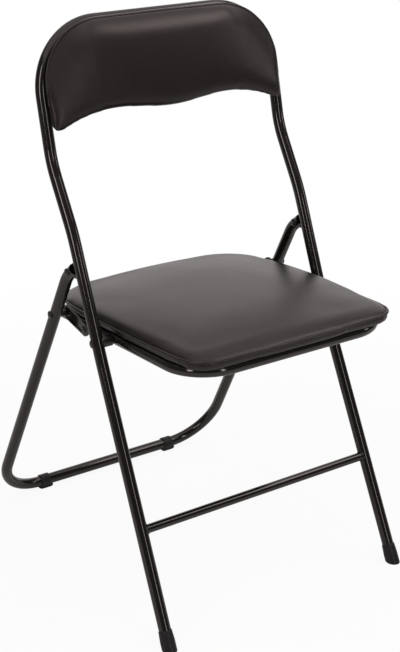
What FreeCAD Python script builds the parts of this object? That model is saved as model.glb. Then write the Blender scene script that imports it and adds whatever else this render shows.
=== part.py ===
import FreeCAD, Part
import math
import os

from FreeCAD import Placement, Rotation, Vector

# Folding chair: bent steel tube, padded seat and back. Millimetres, +Z up, the sitter faces -Y.
# The origin is on the floor, in the middle of the chair's footprint.
os.makedirs("parts", exist_ok=True)
doc = FreeCAD.newDocument("folding_chair")

sizes = {
    # frame tubes
    "tubeDia": 17.0,
    "tubeWall": 1.4,
    "frameHalfWidth": 192.5,
    "footSplay": 7.5,
    "footReach": 243.5,
    "legAngle": 26.4,
    "kneeHeight": 355.0,
    "sideAngle": 23.1,
    "elbowHeight": 518.0,
    "kickAngle": 31.6,
    "kickShare": 0.3225,
    "backAngle": 13.9,
    "topHeight": 780.0,
    "kneeBend": 200.0,
    "elbowBend": 220.0,
    "kickBend": 130.0,
    "topBendShare": 0.56,
    "crossBarDia": 12.5,
    "crossBarWall": 1.2,
    "crossBarHeight": 147.0,
    # rear legs
    "rearReach": 247.0,
    "rearBarHeight": 10.8,
    "rearSplay": 2.6,
    "neckSetBack": 7.8,
    "rearBend": 76.0,
    "neckAngle": 51.0,
    "neckBendShare": 0.6,
    "neckEnd": 9.0,
    # leg hinge
    "hingeHeight": 465.0,
    "hingeStandoff": 23.86,
    "hingeSetOut": 2.0,
    "tongueThick": 4.0,
    "tongueHalf": 8.4,
    "tongueFlare": 5.5,
    "slotGap": 0.3,
    "slotDepth": 19.5,
    # rivets
    "rivetDia": 6.0,
    "rivetFit": 0.06,
    "rivetHeadDia": 12.0,
    "rivetHeadHigh": 2.2,
    "splayGap": 0.15,
    # rubber
    "capLength": 27.0,
    "capTopDia": 18.8,
    "capDia": 20.6,
    "capFloor": 5.0,
    "shoeInset": 7.6,
    "shoeLength": 17.0,
    "shoeDia": 21.0,
    "shoePadLength": 25.0,
    "shoePadWidth": 15.0,
    # seat
    "seatPivotHeight": 380.5,
    "seatAngle": 3.7,
    "railDia": 16.5,
    "railWall": 1.3,
    "railSetIn": 29.1,
    "railReach": 187.0,
    "railOver": 82.4,
    "railBend": 59.0,
    "plugDepth": 10.0,
    "bushDia": 16.0,
    "bushGap": 0.3,
    "seatOverhang": 4.6,
    "seatBow": 4.0,
    "seatFront": 202.6,
    "seatRearOver": 38.2,
    "seatFrontBow": 3.0,
    "seatFrontCorner": 36.0,
    "seatRearCorner": 70.0,
    "boardThick": 8.0,
    "boardInset": 6.0,
    "seatDrop": 5.0,
    "seatCushionHigh": 25.0,
    "seatCrown": 12.5,
    "seatEdge": 9.6,
    "tuckEdge": 5.0,
    "cushionGap": 0.4,
    "seatTabFront": 120.0,
    "seatTabRear": 78.0,
    # fold link
    "linkLegHeight": 387.0,
    "linkSetOut": 15.1,
    "linkThick": 3.0,
    "linkHalf": 9.5,
    "linkRib": 1.2,
    "linkRim": 3.0,
    "linkSpacerDia": 12.0,
    "openPivotGap": 0.4,
    # back
    "backSideGap": 2.5,
    "backTopOver": 2.1,
    "backFootShare": 0.1727,
    "backFootRun": 13.0,
    "backArchShare": 0.2859,
    "backArchAt": 84.0,
    "backDipShare": 0.2442,
    "backCornerShare": 0.624,
    "backBoardThick": 6.0,
    "backBoardInset": 9.0,
    "backDrop": 2.5,
    "backCushionHigh": 19.0,
    "backCrown": 6.0,
    "backEdge": 8.0,
    "backTuck": 3.0,
    "backDatumRise": 14.5,
    "backTabSideShare": 0.33,
    "backTabTopShare": 0.71,
    # tabs and screws
    "tabThick": 2.0,
    "tabWidth": 20.0,
    "tabLength": 26.0,
    "tabEyeInset": 8.0,
    "screwDia": 4.0,
    "screwHeadDia": 9.0,
    "screwHeadHigh": 3.2,
    "screwBite": 5.0,
}
sheet = doc.addObject("Spreadsheet::Sheet", "dims")
for row, (name, value) in enumerate(sizes.items(), start=1):
    sheet.set("A%d" % row, name)
    sheet.set("B%d" % row, str(value))
    sheet.setAlias("B%d" % row, name)
doc.recompute()


def size(name):
    return float(sheet.get(name))


def tan(degrees):
    return math.tan(math.radians(degrees))


def heading(degrees):
    # unit vector in the side plane, measured from +Y towards +Z
    return Vector(0, math.cos(math.radians(degrees)), math.sin(math.radians(degrees)))


def bentPath(corners, bends):
    # straight runs between virtual corners, each corner rounded to its bend radius
    edges = []
    start = corners[0]
    for before, corner, after, bend in zip(corners, corners[1:], corners[2:], bends):
        inward = (before - corner).normalize()
        outward = (after - corner).normalize()
        half = inward.getAngle(outward) / 2
        tangent = bend / math.tan(half)
        first = corner + inward * tangent
        last = corner + outward * tangent
        middle = corner + (inward + outward).normalize() * (bend / math.sin(half) - bend)
        edges.append(Part.LineSegment(start, first).toShape())
        edges.append(Part.Arc(first, middle, last).toShape())
        start = last
    edges.append(Part.LineSegment(start, corners[-1]).toShape())
    return Part.Wire(edges)


def sweptRound(path, diameter, wall=None):
    start = path.Edges[0]
    origin = start.valueAt(start.FirstParameter)
    along = start.tangentAt(start.FirstParameter)
    outer = Part.Wire(Part.makeCircle(diameter / 2, origin, along))
    if wall is None:
        return path.makePipe(Part.Face(outer))
    inner = Part.Wire(Part.makeCircle(diameter / 2 - wall, origin, along))
    inner.reverse()
    return path.makePipe(Part.Face([outer, inner]))


def feature(label, shape):
    item = doc.addObject("Part::Feature", label)
    item.Shape = shape
    return item


def cylinder(label, diameter, length, start, along):
    item = doc.addObject("Part::Cylinder", label)
    item.setExpression("Radius", "(%s) / 2" % diameter)
    item.setExpression("Height", length)
    item.Placement = Placement(start, Rotation(Vector(0, 0, 1), along))
    return item


def cut(label, base, tool):
    item = doc.addObject("Part::Cut", label)
    item.Base = base
    item.Tool = tool
    return item


def fuse(label, items):
    item = doc.addObject("Part::MultiFuse", label)
    item.Shapes = items
    return item


def mirrored(label, source):
    item = doc.addObject("Part::Mirroring", label)
    item.Source = source
    item.Normal = Vector(1, 0, 0)
    return item


def together(label, items):
    item = doc.addObject("Part::Compound", label)
    item.Links = items
    return item


def body(label):
    return doc.addObject("PartDesign::Body", label)


def sketchOn(owner, name, plane, edges):
    sketch = owner.newObject("Sketcher::SketchObject", name)
    for entry in owner.Origin.OriginFeatures:
        if entry.Role == plane:
            sketch.AttachmentSupport = [(entry, "")]
    sketch.MapMode = "FlatFace"
    for edge in edges:
        sketch.addGeometry(edge, False)
    doc.recompute()
    return sketch


def pad(owner, name, sketch, length, midplane=False):
    item = owner.newObject("PartDesign::Pad", name)
    item.Profile = sketch
    item.setExpression("Length", length)
    item.Midplane = midplane
    sketch.Visibility = False
    doc.recompute()
    return item


def turned(label, points):
    # half profile in X (radius) and Y (along the axis), turned about Y
    owner = body(label)
    corners = [Vector(x, y, 0) for x, y in points]
    lines = [Part.LineSegment(a, b) for a, b in zip(corners, corners[1:] + corners[:1])]
    sketch = sketchOn(owner, label + "_profile", "XY_Plane", lines)
    item = owner.newObject("PartDesign::Revolution", label + "_turn")
    item.Profile = sketch
    item.ReferenceAxis = (sketch, ["V_Axis"])
    item.Angle = 360
    doc.recompute()
    return owner


def aim(start, along):
    # place a turned piece with its +Y axis pointing along the given direction
    return Placement(start, Rotation(Vector(0, 1, 0), along))


def circle2d(x, y, radius):
    return Part.Circle(Vector(x, y, 0), Vector(0, 0, 1), radius)


def roundedEnds(x0, x1, y, half):
    # outline of a bar with full round ends
    return [
        Part.LineSegment(Vector(x0, y - half, 0), Vector(x1, y - half, 0)),
        Part.Arc(Vector(x1, y - half, 0), Vector(x1 + half, y, 0), Vector(x1, y + half, 0)),
        Part.LineSegment(Vector(x1, y + half, 0), Vector(x0, y + half, 0)),
        Part.Arc(Vector(x0, y + half, 0), Vector(x0 - half, y, 0), Vector(x0, y - half, 0)),
    ]


tubeRadius = size("tubeDia") / 2
railRadius = size("railDia") / 2
right = Vector(1, 0, 0)
left = Vector(-1, 0, 0)

# Half widths, all set out from the side tubes of the front frame
frameHalf = size("frameHalfWidth")
footHalf = frameHalf + size("footSplay")
hingeHalf = frameHalf + size("hingeSetOut")
rearHalf = footHalf + size("rearSplay")
railHalf = frameHalf - size("railSetIn")
linkPlane = railHalf + size("linkSetOut")
seatHalf = railHalf + size("seatOverhang")
backHalf = frameHalf - size("backSideGap")
shoeSpacing = rearHalf - size("rearBend") - size("shoeInset")

# The back loop of the frame sets the heights of the back
kickHeight = size("elbowHeight") + (size("topHeight") - size("elbowHeight")) * size("kickShare")
backDatum = kickHeight + size("backDatumRise")
loopRun = (size("topHeight") - backDatum) / math.cos(math.radians(size("backAngle")))
topBend = loopRun * size("topBendShare")
backTop = loopRun + size("backTopOver")
backFoot = loopRun * size("backFootShare")
backArch = loopRun * size("backArchShare")
backDip = loopRun * size("backDipShare")
backCorner = (backTop - backFoot) * size("backCornerShare")

# Front frame: one tube from foot to foot over the back
kneeY = -size("footReach") + size("kneeHeight") * tan(size("legAngle"))
elbowY = kneeY + (size("elbowHeight") - size("kneeHeight")) * tan(size("sideAngle"))
kickY = elbowY + (kickHeight - size("elbowHeight")) * tan(size("kickAngle"))
topY = kickY + (size("topHeight") - kickHeight) * tan(size("backAngle"))
footPoint = Vector(footHalf, -size("footReach"), 0)
kneePoint = Vector(frameHalf, kneeY, size("kneeHeight"))
legAxis = (kneePoint - footPoint).normalize()
sideCorners = [
    footPoint + legAxis * size("capFloor"),
    kneePoint,
    Vector(frameHalf, elbowY, size("elbowHeight")),
    Vector(frameHalf, kickY, kickHeight),
    Vector(frameHalf, topY, size("topHeight")),
]
frameCorners = sideCorners + [Vector(-p.x, p.y, p.z) for p in reversed(sideCorners)]
sideBends = [size("kneeBend"), size("elbowBend"), size("kickBend"), topBend]
framePath = bentPath(frameCorners, sideBends + sideBends[::-1])
frameEnvelope = sweptRound(framePath, size("tubeDia"))


def sideTubeY(height):
    return kneeY + (height - size("kneeHeight")) * tan(size("sideAngle"))


# Pivots seen from the side: rear leg hinge, seat pivot, link on the leg, link on the seat
hinge = Vector(0, sideTubeY(size("hingeHeight")) + size("hingeStandoff"), size("hingeHeight"))
seatPivot = Vector(0, sideTubeY(size("seatPivotHeight")), size("seatPivotHeight"))
rearBar = Vector(0, size("rearReach"), size("rearBarHeight"))
rearRun = rearBar.y - hinge.y - size("neckSetBack")
rearAngle = math.degrees(math.atan2(rearRun, hinge.z - rearBar.z))
linkLegY = rearBar.y - (size("linkLegHeight") - rearBar.z) * tan(rearAngle)
linkLeg = Vector(0, linkLegY, size("linkLegHeight"))

# The legs fold flat together and the seat folds flat with them; one link length suits both ends of travel
foldAngle = size("legAngle") + rearAngle
swing = Rotation(right, -foldAngle)
linkLegFolded = hinge + swing.multVec(linkLeg - hinge)
seatOpen = heading(-size("seatAngle"))
seatFolded = heading(90 - size("legAngle"))
openArm = linkLeg - seatPivot
foldedArm = linkLegFolded - seatPivot
linkReach = (openArm.dot(openArm) - foldedArm.dot(foldedArm)) / (
    2 * (seatOpen.dot(openArm) - seatFolded.dot(foldedArm))
)
linkSeat = seatPivot + seatOpen * linkReach
linkSpan = (linkLeg - linkSeat).Length

# Holes for the seat rivets are drilled through the frame tube
seatHole = Part.makeCylinder(
    size("rivetDia") / 2, frameHalf * 4, seatPivot + left * frameHalf * 2, right
)
frameTube = sweptRound(framePath, size("tubeDia"), size("tubeWall")).cut(seatHole)
frontFrame = feature("front_frame_tube", frameTube)
frontEnvelope = feature("front_frame_envelope", frameEnvelope)

# Cross tube between the front legs, coped onto them
crossRun = size("crossBarHeight") / size("kneeHeight")
crossHalf = footPoint.x + (kneePoint.x - footPoint.x) * crossRun
crossStart = Vector(-crossHalf, footPoint.y + (kneePoint.y - footPoint.y) * crossRun, size("crossBarHeight"))
crossLength = repr(2 * crossHalf)
crossOuter = cylinder("cross_bar_outer", "dims.crossBarDia", crossLength, crossStart, right)
crossBore = cylinder("cross_bar_bore", "dims.crossBarDia - 2 * dims.crossBarWall", crossLength, crossStart, right)
crossTube = cut("cross_bar_tube", crossOuter, crossBore)
crossBar = cut("front_cross_bar", crossTube, frontEnvelope)

# Rubber caps on the front legs, cut flat on the floor
capTop = size("capLength")
below = size("capDia")
capProfile = [
    (0, -below),
    (size("capDia") / 2, -below),
    (size("capDia") / 2, capTop * 0.45),
    (size("capTopDia") / 2, capTop - 1),
    (size("capTopDia") / 2 - 0.6, capTop),
    (tubeRadius, capTop),
    (tubeRadius, size("capFloor")),
    (0, size("capFloor")),
]
capBlank = turned("front_cap_blank", capProfile)
capBlank.Placement = aim(footPoint, legAxis)
floorBlock = doc.addObject("Part::Box", "floor_block")
floorBlock.setExpression("Length", "dims.capDia * 4")
floorBlock.setExpression("Width", "dims.capDia * 4")
floorBlock.setExpression("Height", "dims.capDia * 2")
floorBlock.Placement.Base = footPoint - Vector(1, 1, 1) * size("capDia") * 2
capRight = cut("front_foot_right", capBlank, floorBlock)
capLeft = mirrored("front_foot_left", capRight)

# Rear legs: one tube, bent forward at its upper ends to meet the hinge tongues
neck = heading(90 + size("neckAngle"))
leanAxis = heading(90 + rearAngle)
offset = hinge - rearBar
neckRun = (offset.y * neck.z - offset.z * neck.y) / (leanAxis.y * neck.z - leanAxis.z * neck.y)
neckCorner = rearBar + leanAxis * neckRun
neckCorner.x = hingeHalf
neckTip = hinge + neck * size("neckEnd")
neckTip.x = hingeHalf
rearCorners = [neckTip, neckCorner, Vector(rearHalf, rearBar.y, rearBar.z)]
rearCorners = rearCorners + [Vector(-p.x, p.y, p.z) for p in reversed(rearCorners)]
neckLength = Vector(0, neckCorner.y - hinge.y, neckCorner.z - hinge.z).Length
neckBend = size("neckBendShare") * neckLength / tan((size("neckAngle") - rearAngle) / 2)
rearBends = [neckBend, size("rearBend"), size("rearBend"), neckBend]
rearPath = bentPath(rearCorners, rearBends)
rearEnvelope = feature("rear_frame_envelope", sweptRound(rearPath, size("tubeDia")))
rearTube = sweptRound(rearPath, size("tubeDia"), size("tubeWall"))
slotWidth = size("tongueThick") + 2 * size("slotGap")
slotRun = size("slotDepth") + size("tubeDia")
for side in (right, left):
    slot = Part.makeBox(slotWidth, size("tubeDia") * 2, slotRun)
    slotHome = Placement(hinge + side * hingeHalf, Rotation(right, size("neckAngle")))
    slotCorner = Vector(-slotWidth / 2, -size("tubeDia"), size("neckEnd") - size("slotDepth"))
    slot.Placement = slotHome.multiply(Placement(slotCorner, Rotation()))
    rearTube = rearTube.cut(slot)
for pivot in (hinge, linkLeg):
    drill = Part.makeCylinder(
        size("rivetDia") / 2, rearHalf * 4, pivot + left * rearHalf * 2, right
    )
    rearTube = rearTube.cut(drill)
rearFrame = feature("rear_frame_tube", rearTube)

# Hinge tongues: flat plates welded behind the side tubes, round at the rivet
tongue = body("tongue_blank")
sideAxis = heading(90 - size("sideAngle"))
toTube = Vector(0, 0, 0) - Vector(0, sideAxis.z, -sideAxis.y)
gapToTube = Vector(0, elbowY, size("elbowHeight")) - hinge
tongueRun = gapToTube.dot(toTube)
tongueHalf = size("tongueHalf")
baseHalf = tongueHalf + size("tongueFlare")
tongueEdges = [
    Part.LineSegment(Vector(0, -tongueHalf, 0), Vector(tongueRun, -baseHalf, 0)),
    Part.LineSegment(Vector(tongueRun, -baseHalf, 0), Vector(tongueRun, baseHalf, 0)),
    Part.LineSegment(Vector(tongueRun, baseHalf, 0), Vector(0, tongueHalf, 0)),
    Part.Arc(Vector(0, tongueHalf, 0), Vector(-tongueHalf, 0, 0), Vector(0, -tongueHalf, 0)),
]
pad(tongue, "tongue_pad", sketchOn(tongue, "tongue_outline", "XY_Plane", tongueEdges), "dims.tongueThick", True)
tongueEye = sketchOn(tongue, "tongue_eye", "XY_Plane", [circle2d(0, 0, size("rivetDia") / 2 + size("rivetFit"))])
tongueHole = tongue.newObject("PartDesign::Pocket", "tongue_hole")
tongueHole.Profile = tongueEye
tongueHole.Type = 1
tongueHole.Midplane = True
tongueTurn = Rotation(toTube, sideAxis, toTube.cross(sideAxis), "XYZ")
tongue.Placement = Placement(hinge + right * hingeHalf, tongueTurn)
doc.recompute()
tongueRight = cut("leg_hinge_tongue_right", tongue, frontEnvelope)
tongueLeft = mirrored("leg_hinge_tongue_left", tongueRight)


def rivetProfile(grip):
    # shank between two low domed heads, from Y = 0 to Y = grip
    shank = size("rivetDia") / 2
    head = size("rivetHeadDia") / 2
    high = size("rivetHeadHigh")
    return [
        (0, -high),
        (head * 0.55, -high * 0.92),
        (head * 0.9, -high * 0.5),
        (head, 0),
        (shank, 0),
        (shank, grip),
        (head, grip),
        (head * 0.9, grip + high * 0.5),
        (head * 0.55, grip + high * 0.92),
        (0, grip + high),
    ]


# Rivets of the leg hinge, through the slotted tube ends
hingeRivet = turned("leg_hinge_rivet_right", rivetProfile(size("tubeDia")))
hingeRivet.Placement = aim(hinge + right * (hingeHalf - tubeRadius), right)
hingeRivets = together("leg_hinge_rivets", [hingeRivet, mirrored("leg_hinge_rivet_left", hingeRivet)])

# Rubber saddle feet on the rear bar
shoeHalf = size("shoeLength") / 2
shoeOuter = size("shoeDia") / 2
shoeProfile = [
    (0, -shoeHalf),
    (shoeOuter - 1, -shoeHalf),
    (shoeOuter, -shoeHalf + 1),
    (shoeOuter, shoeHalf - 1),
    (shoeOuter - 1, shoeHalf),
    (0, shoeHalf),
]
shoeRing = turned("shoe_ring", shoeProfile)
shoeRing.Placement = aim(rearBar + right * shoeSpacing, right)
padHalf = size("shoePadLength") / 2
shoePad = body("shoe_pad")
shoeEdges = [
    Part.LineSegment(Vector(-padHalf + 4, 0, 0), Vector(padHalf - 4, 0, 0)),
    Part.LineSegment(Vector(padHalf - 4, 0, 0), Vector(padHalf, rearBar.z - tubeRadius, 0)),
    Part.LineSegment(Vector(padHalf, rearBar.z - tubeRadius, 0), Vector(shoeHalf, rearBar.z, 0)),
    Part.LineSegment(Vector(shoeHalf, rearBar.z, 0), Vector(-shoeHalf, rearBar.z, 0)),
    Part.LineSegment(Vector(-shoeHalf, rearBar.z, 0), Vector(-padHalf, rearBar.z - tubeRadius, 0)),
    Part.LineSegment(Vector(-padHalf, rearBar.z - tubeRadius, 0), Vector(-padHalf + 4, 0, 0)),
]
pad(shoePad, "shoe_pad_block", sketchOn(shoePad, "shoe_side", "XZ_Plane", shoeEdges), "dims.shoePadWidth", True)
shoePad.Placement.Base = Vector(shoeSpacing, rearBar.y, 0)
shoeRight = cut("rear_foot_right", fuse("shoe_whole", [shoeRing, shoePad]), rearEnvelope)
shoeLeft = mirrored("rear_foot_left", shoeRight)

# Seat pivot: rivet through frame tube, spacer bush and seat rail
railInner = railHalf - railRadius - size("bushGap")
pivotGrip = frameHalf + tubeRadius - railInner
pivotRivet = turned("seat_pivot_rivet_right", rivetProfile(pivotGrip))
pivotRivet.Placement = aim(seatPivot + right * railInner, right)
pivotRivets = together("seat_pivot_rivets", [pivotRivet, mirrored("seat_pivot_rivet_left", pivotRivet)])
bushStart = railHalf + railRadius + size("bushGap")
bushOuter = cylinder(
    "bush_outer", "dims.bushDia", repr(frameHalf - bushStart), seatPivot + right * bushStart, right
)
bushBore = cylinder(
    "bush_bore", "dims.rivetDia", repr(frameHalf - bushStart), seatPivot + right * bushStart, right
)
bushRight = cut("bush_right", cut("bush_tube", bushOuter, bushBore), frontEnvelope)
bushes = together("seat_pivot_bushes", [bushRight, mirrored("bush_left", bushRight)])

# Seat pieces are drawn flat, with the pivot as origin, then tilted into place
seatPlace = Placement(seatPivot, Rotation(right, -size("seatAngle")))


def seated(point):
    return seatPlace.multVec(point)


# Seat rail: a U of tube, open to the rear
railRear = linkReach + size("railOver")
seatRear = railRear + size("seatRearOver")
railCorners = [
    Vector(railHalf, railRear, 0),
    Vector(railHalf, -size("railReach"), 0),
    Vector(-railHalf, -size("railReach"), 0),
    Vector(-railHalf, railRear, 0),
]
railPath = bentPath(railCorners, [size("railBend"), size("railBend")])
railTube = sweptRound(railPath, size("railDia"), size("railWall"))
railSpan = railHalf * 4
pivotDrill = Part.makeCylinder(
    size("rivetDia") / 2 + size("rivetFit"), railSpan, left * (railSpan / 2), right
)
linkDrill = Part.makeCylinder(
    size("rivetDia") / 2, railSpan, Vector(-railSpan / 2, linkReach, 0), right
)
railTube = railTube.cut(pivotDrill).cut(linkDrill)
seatRail = feature("seat_rail", railTube)
seatRail.Placement = seatPlace
railEnvelope = feature("seat_rail_envelope", sweptRound(railPath, size("railDia")))
railEnvelope.Placement = seatPlace

# Plugs in the open rail ends
plugRadius = railRadius - size("railWall")
plugProfile = [
    (0, -size("plugDepth")),
    (plugRadius, -size("plugDepth")),
    (plugRadius, 0),
    (railRadius, 0),
    (railRadius, 1.2),
    (railRadius - 1.5, 2.6),
    (0, 3.2),
]
plugRight = turned("seat_rail_plug_right", plugProfile)
plugRight.Placement = aim(seated(Vector(railHalf, railRear, 0)), seatOpen)
plugLeft = mirrored("seat_rail_plug_left", plugRight)


def seatOutline(inset):
    # bowed front and sides, small front corners, wide rear corners
    half = seatHalf - inset
    front = -size("seatFront") + inset
    rear = seatRear - inset
    near = size("seatFrontCorner") - inset
    far = size("seatRearCorner") - inset
    slant = math.sqrt(0.5)
    frontBow = size("seatFrontBow")
    bow = size("seatBow")
    middle = (front + near + rear - far) / 2
    a = Vector(-half + near, front + frontBow, 0)
    b = Vector(half - near, front + frontBow, 0)
    c = Vector(half, front + near + frontBow, 0)
    d = Vector(half, rear - far, 0)
    e = Vector(half - far, rear, 0)
    f = Vector(-half + far, rear, 0)
    g = Vector(-half, rear - far, 0)
    h = Vector(-half, front + near + frontBow, 0)
    return [
        Part.Arc(a, Vector(0, front, 0), b),
        Part.Arc(b, Vector(half - near + near * slant, c.y - near * slant, 0), c),
        Part.Arc(c, Vector(half + bow, middle, 0), d),
        Part.Arc(d, Vector(half - far + far * slant, d.y + far * slant, 0), e),
        Part.LineSegment(e, f),
        Part.Arc(f, Vector(-half + far - far * slant, d.y + far * slant, 0), g),
        Part.Arc(g, Vector(-half - bow, middle, 0), h),
        Part.Arc(h, Vector(-half + near - near * slant, c.y - near * slant, 0), a),
    ]


def crowned(label, blank, crown, highSpot, top, tuck, edge):
    # shallow dome over the blank, then a soft upper edge and a tucked lower edge
    dome = doc.addObject("Part::Sphere", label + "_dome")
    dome.setExpression("Radius", repr(crown))
    dome.Placement.Base = highSpot - Vector(0, 0, crown)
    domed = doc.addObject("Part::Common", label + "_domed")
    domed.Base = blank
    domed.Tool = dome
    doc.recompute()
    rims = []
    for number, rim in enumerate(domed.Shape.Edges, start=1):
        box = rim.BoundBox
        if box.ZMin > top:
            rims.append((number, edge, edge))
        elif box.ZMax < tuck[0] + 0.01:
            rims.append((number, tuck[1], tuck[1]))
    soft = doc.addObject("Part::Fillet", label + "_soft")
    soft.Base = domed
    soft.Edges = rims
    doc.recompute()
    return soft


def screwProfile(length):
    # low pan head below Y = 0, plain shank above it
    head = size("screwHeadDia") / 2
    high = size("screwHeadHigh")
    return [
        (0, -high),
        (head * 0.6, -high),
        (head * 0.92, -high * 0.6),
        (head, 0),
        (size("screwDia") / 2, 0),
        (size("screwDia") / 2, length - 1),
        (0, length),
    ]


def weldedTab(label, place, spot, inward, rise, tube):
    # small plate welded to a tube, its upper face level with the tube's crown
    blank = body(label + "_blank")
    wide = size("tabWidth") / 2
    long = size("tabLength")
    shoulder = long - wide * 0.6
    edges = [
        Part.LineSegment(Vector(0, -wide, 0), Vector(shoulder, -wide, 0)),
        Part.Arc(Vector(shoulder, -wide, 0), Vector(long, 0, 0), Vector(shoulder, wide, 0)),
        Part.LineSegment(Vector(shoulder, wide, 0), Vector(0, wide, 0)),
        Part.LineSegment(Vector(0, wide, 0), Vector(0, -wide, 0)),
        circle2d(long - size("tabEyeInset"), 0, size("screwDia") / 2),
    ]
    pad(blank, label + "_plate", sketchOn(blank, label + "_outline", "XY_Plane", edges), "dims.tabThick")
    angle = math.degrees(math.atan2(inward.y, inward.x))
    home = Placement(spot + Vector(0, 0, rise - size("tabThick")), Rotation(Vector(0, 0, 1), angle))
    blank.Placement = place.multiply(home)
    return cut(label, blank, tube)


def tabEye(spot, inward):
    return spot + inward * (size("tabLength") - size("tabEyeInset"))


def tabScrew(label, place, eye, rise):
    # screw from behind the tab into the board
    screw = turned(label, screwProfile(size("tabThick") + size("screwBite")))
    outward = place.Rotation.multVec(Vector(0, 0, 1))
    screw.Placement = aim(place.multVec(eye + Vector(0, 0, rise - size("tabThick"))), outward)
    return screw


# Four tabs inside the seat rail
seatTabSpots = {
    "front_right": (Vector(railHalf, -size("seatTabFront"), 0), left),
    "front_left": (Vector(-railHalf, -size("seatTabFront"), 0), right),
    "rear_right": (Vector(railHalf, seatRear - size("seatTabRear"), 0), left),
    "rear_left": (Vector(-railHalf, seatRear - size("seatTabRear"), 0), right),
}
seatTabs = []
seatScrewItems = []
seatPilots = []
for name, (spot, inward) in seatTabSpots.items():
    eye = tabEye(spot, inward)
    seatTabs.append(weldedTab("seat_tab_" + name, seatPlace, spot, inward, railRadius, railEnvelope))
    seatScrewItems.append(tabScrew("seat_screw_" + name, seatPlace, eye, railRadius))
    seatPilots.append(circle2d(eye.x, eye.y, size("screwDia") / 2))
seatScrews = together("seat_screws", seatScrewItems)

# Seat board on top of the rail and the tabs
seatBoard = body("seat_board")
boardSketch = sketchOn(seatBoard, "seat_board_outline", "XY_Plane", seatOutline(size("boardInset")))
pad(seatBoard, "seat_board_pad", boardSketch, "dims.boardThick")
pilotHoles = seatBoard.newObject("PartDesign::Pocket", "seat_board_pilot_holes")
pilotHoles.Profile = sketchOn(seatBoard, "seat_board_pilots", "XY_Plane", seatPilots)
pilotHoles.Reversed = True
pilotHoles.setExpression("Length", "dims.screwBite")
seatBoard.Placement = seatPlace.multiply(Placement(Vector(0, 0, railRadius), Rotation()))

# Seat cushion: crowned top, rounded rim, edge drawn down around the board
cushionBlank = body("seat_cushion_blank")
cushionSketch = sketchOn(cushionBlank, "seat_cushion_outline", "XY_Plane", seatOutline(0))
pad(cushionBlank, "seat_cushion_pad", cushionSketch, "dims.seatCushionHigh")
crownReach = math.hypot(seatHalf, (size("seatFront") + seatRear) / 2)
seatDomeRadius = (crownReach ** 2 + size("seatCrown") ** 2) / (2 * size("seatCrown"))
seatHigh = Vector(0, (seatRear - size("seatFront")) / 2, size("seatCushionHigh"))
seatSoft = crowned(
    "seat_cushion",
    cushionBlank,
    seatDomeRadius,
    seatHigh,
    size("tuckEdge") + 0.5,
    (0.0, size("tuckEdge")),
    size("seatEdge"),
)
boardPocket = body("seat_board_pocket")
pocketSketch = sketchOn(
    boardPocket, "seat_pocket_outline", "XY_Plane", seatOutline(size("boardInset") - size("cushionGap"))
)
pad(boardPocket, "seat_pocket_pad", pocketSketch, "dims.seatDrop + dims.cushionGap + 10")
boardPocket.Placement.Base = Vector(0, 0, -10)
seatCushion = cut("seat_cushion", seatSoft, boardPocket)
cushionBase = railRadius + size("boardThick") - size("seatDrop")
seatCushion.Placement = seatPlace.multiply(Placement(Vector(0, 0, cushionBase), Rotation()))

# Rivets and spacers that carry the links on the seat rail
linkInner = linkPlane - size("linkThick") / 2
linkOuter = linkPlane + size("linkThick") / 2
seatRivetGrip = linkOuter + size("rivetFit") - railHalf + railRadius
seatRivet = turned("link_seat_rivet_right", rivetProfile(seatRivetGrip))
seatRivet.Placement = aim(linkSeat + right * (railHalf - railRadius), right)
seatRivets = together("link_seat_rivets", [seatRivet, mirrored("link_seat_rivet_left", seatRivet)])
spacerRun = repr(linkInner - size("rivetFit") - railHalf)
railCentre = linkSeat + right * railHalf
seatSpacerOuter = cylinder("seat_spacer_outer", "dims.linkSpacerDia", spacerRun, railCentre, right)
seatSpacerBore = cylinder("seat_spacer_bore", "dims.rivetDia", spacerRun, railCentre, right)
seatSpacerTube = cut("seat_spacer_tube", seatSpacerOuter, seatSpacerBore)
seatSpacerRight = cut("link_seat_spacer_right", seatSpacerTube, railEnvelope)
seatSpacers = together("link_seat_spacers", [seatSpacerRight, mirrored("link_seat_spacer_left", seatSpacerRight)])

# Fold links: pressed plates with a raised rim, from seat rail to rear leg
linkBody = body("fold_link_right")
linkSketch = sketchOn(linkBody, "link_outline", "XY_Plane", roundedEnds(0, linkSpan, 0, size("linkHalf")))
pad(linkBody, "link_plate", linkSketch, "dims.linkThick", True)
troughEdges = roundedEnds(0, linkSpan, 0, size("linkHalf") - size("linkRim"))
troughSketch = sketchOn(linkBody, "link_trough_outline", "XY_Plane", troughEdges)
troughSketch.AttachmentOffset = Placement(Vector(0, 0, size("linkThick") / 2), Rotation())
trough = linkBody.newObject("PartDesign::Pocket", "link_trough")
trough.Profile = troughSketch
trough.setExpression("Length", "dims.linkRib")
doc.recompute()
eyes = [circle2d(0, 0, size("rivetDia") / 2 + size("rivetFit")), circle2d(linkSpan, 0, size("rivetDia") / 2)]
linkEyes = sketchOn(linkBody, "link_eyes", "XY_Plane", eyes)
linkHoles = linkBody.newObject("PartDesign::Pocket", "link_holes")
linkHoles.Profile = linkEyes
linkHoles.Type = 1
linkHoles.Midplane = True
linkAxis = (linkLeg - linkSeat).normalize()
linkTurn = Rotation(linkAxis, right.cross(linkAxis), right, "XYZ")
linkBody.Placement = Placement(linkSeat + right * linkPlane, linkTurn)
linkLeft = mirrored("fold_link_left", linkBody)

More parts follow.
